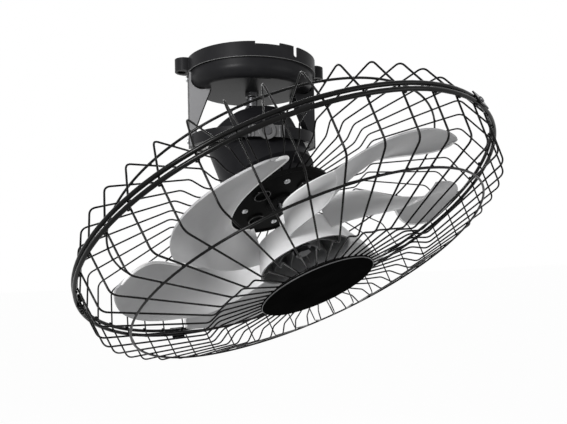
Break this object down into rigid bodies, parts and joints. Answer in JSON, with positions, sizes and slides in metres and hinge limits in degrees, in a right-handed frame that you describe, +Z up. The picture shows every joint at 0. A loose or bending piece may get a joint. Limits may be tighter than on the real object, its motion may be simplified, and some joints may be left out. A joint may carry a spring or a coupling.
{
  "type": "orbital ceiling fan",
  "caption": "Caged orbital ceiling fan: round canopy, two arms and a cradle ring carry a leaning fan head that wanders round the vertical axis.",
  "frame": {"origin": "centre of the ceiling face, midway between the two mounting screws", "axes": "+Z up into the ceiling, X through the two mounting ears and arms"},
  "size_m": [0.5261, 0.493, 0.4254],
  "materials": {
    "canopy_paint": "satin charcoal powder coat",
    "arm_paint": "satin charcoal paint on pressed steel",
    "cradle_paint": "satin black paint on a cast ring",
    "plate_paint": "satin grey-black paint",
    "motor_paint": "satin black paint",
    "guard_enamel": "gloss black enamel on steel wire",
    "grille_black": "gloss black moulding",
    "badge_black": "smooth black moulding",
    "blade_grey": "satin silver-grey moulding",
    "hub_grey": "satin silver-grey moulding",
    "zinc_steel": "bright zinc plate",
    "dark_steel": "blackened steel",
    "ground_steel": "ground steel",
    "core_steel": "stacked electrical steel",
    "copper": "enamelled copper windings",
    "bronze": "sintered bronze",
    "nylon_white": "natural nylon",
    "nylon_grey": "glass-filled nylon",
    "capacitor_case": "pale moulded case"
  },
  "bodies": {
    "bracket": {"canopy": "canopy_paint", "mounting_bar": "zinc_steel", "terminal_block": "nylon_white", "run_capacitor": "capacitor_case", "centre_stud": "dark_steel", "stud_nuts": "dark_steel", "arm_left": "arm_paint", "arm_right": "arm_paint", "arm_screws": "zinc_steel", "cradle_ring": "cradle_paint", "pivot_plates": "plate_paint", "keeper_pins": "dark_steel"},
    "orbit_carrier": {"orbit_ring": "nylon_grey", "crank": "dark_steel", "crank_gear": "nylon_white"},
    "fan_head": {"rear_motor_shell": "motor_paint", "front_motor_shell": "motor_paint", "gearbox_housing": "motor_paint", "motor_bolts": "zinc_steel", "stator_core": "core_steel", "stator_windings": "copper", "rear_bearing": "ground_steel", "front_bearing": "ground_steel", "crank_bush": "bronze", "grille_plate": "grille_black", "grille_plate_screws": "zinc_steel", "rear_guard_wires": "guard_enamel", "rear_rim_ring": "guard_enamel", "rear_support_ring": "guard_enamel", "front_guard_wires": "guard_enamel", "front_rim_ring": "guard_enamel", "front_support_ring": "guard_enamel", "front_centre_ring": "guard_enamel", "badge": "badge_black", "rim_clips": "guard_enamel", "clip_screws": "dark_steel"},
    "cross_drive": {"worm_wheel": "nylon_white", "cross_pinion": "bronze", "cross_shaft": "ground_steel"},
    "fan_rotor": {"rotor_core": "core_steel", "rotor_shaft": "ground_steel", "worm": "bronze", "fan_hub": "hub_grey", "fan_blades": "blade_grey", "hub_nut": "dark_steel", "drive_pin": "ground_steel"}
  },
  "joints": [
    {"name": "orbit_turn", "type": "hinge", "parent": "bracket", "child": "orbit_carrier", "pos_m": [0, 0, -0.112], "axis": [0, 0, 1], "continuous": true},
    {"name": "head_hold", "type": "hinge", "parent": "orbit_carrier", "child": "fan_head", "pos_m": [0, 0, -0.112], "axis": [-0.2381, 0.4734, 0.848], "continuous": true},
    {"name": "fan_spin", "type": "hinge", "parent": "fan_head", "child": "fan_rotor", "pos_m": [0, 0, -0.112], "axis": [-0.2381, 0.4734, 0.848], "continuous": true},
    {"name": "cross_turn", "type": "hinge", "parent": "fan_head", "child": "cross_drive", "pos_m": [0.00623, 0.01588, -0.09377], "axis": [0.381, -0.7576, 0.5299], "continuous": true}
  ],
  "couplings": [
    {"joint": "head_hold", "follows": "orbit_turn", "ratio": -1},
    {"joint": "cross_turn", "follows": "fan_spin", "ratio": 0.05}
  ]
}
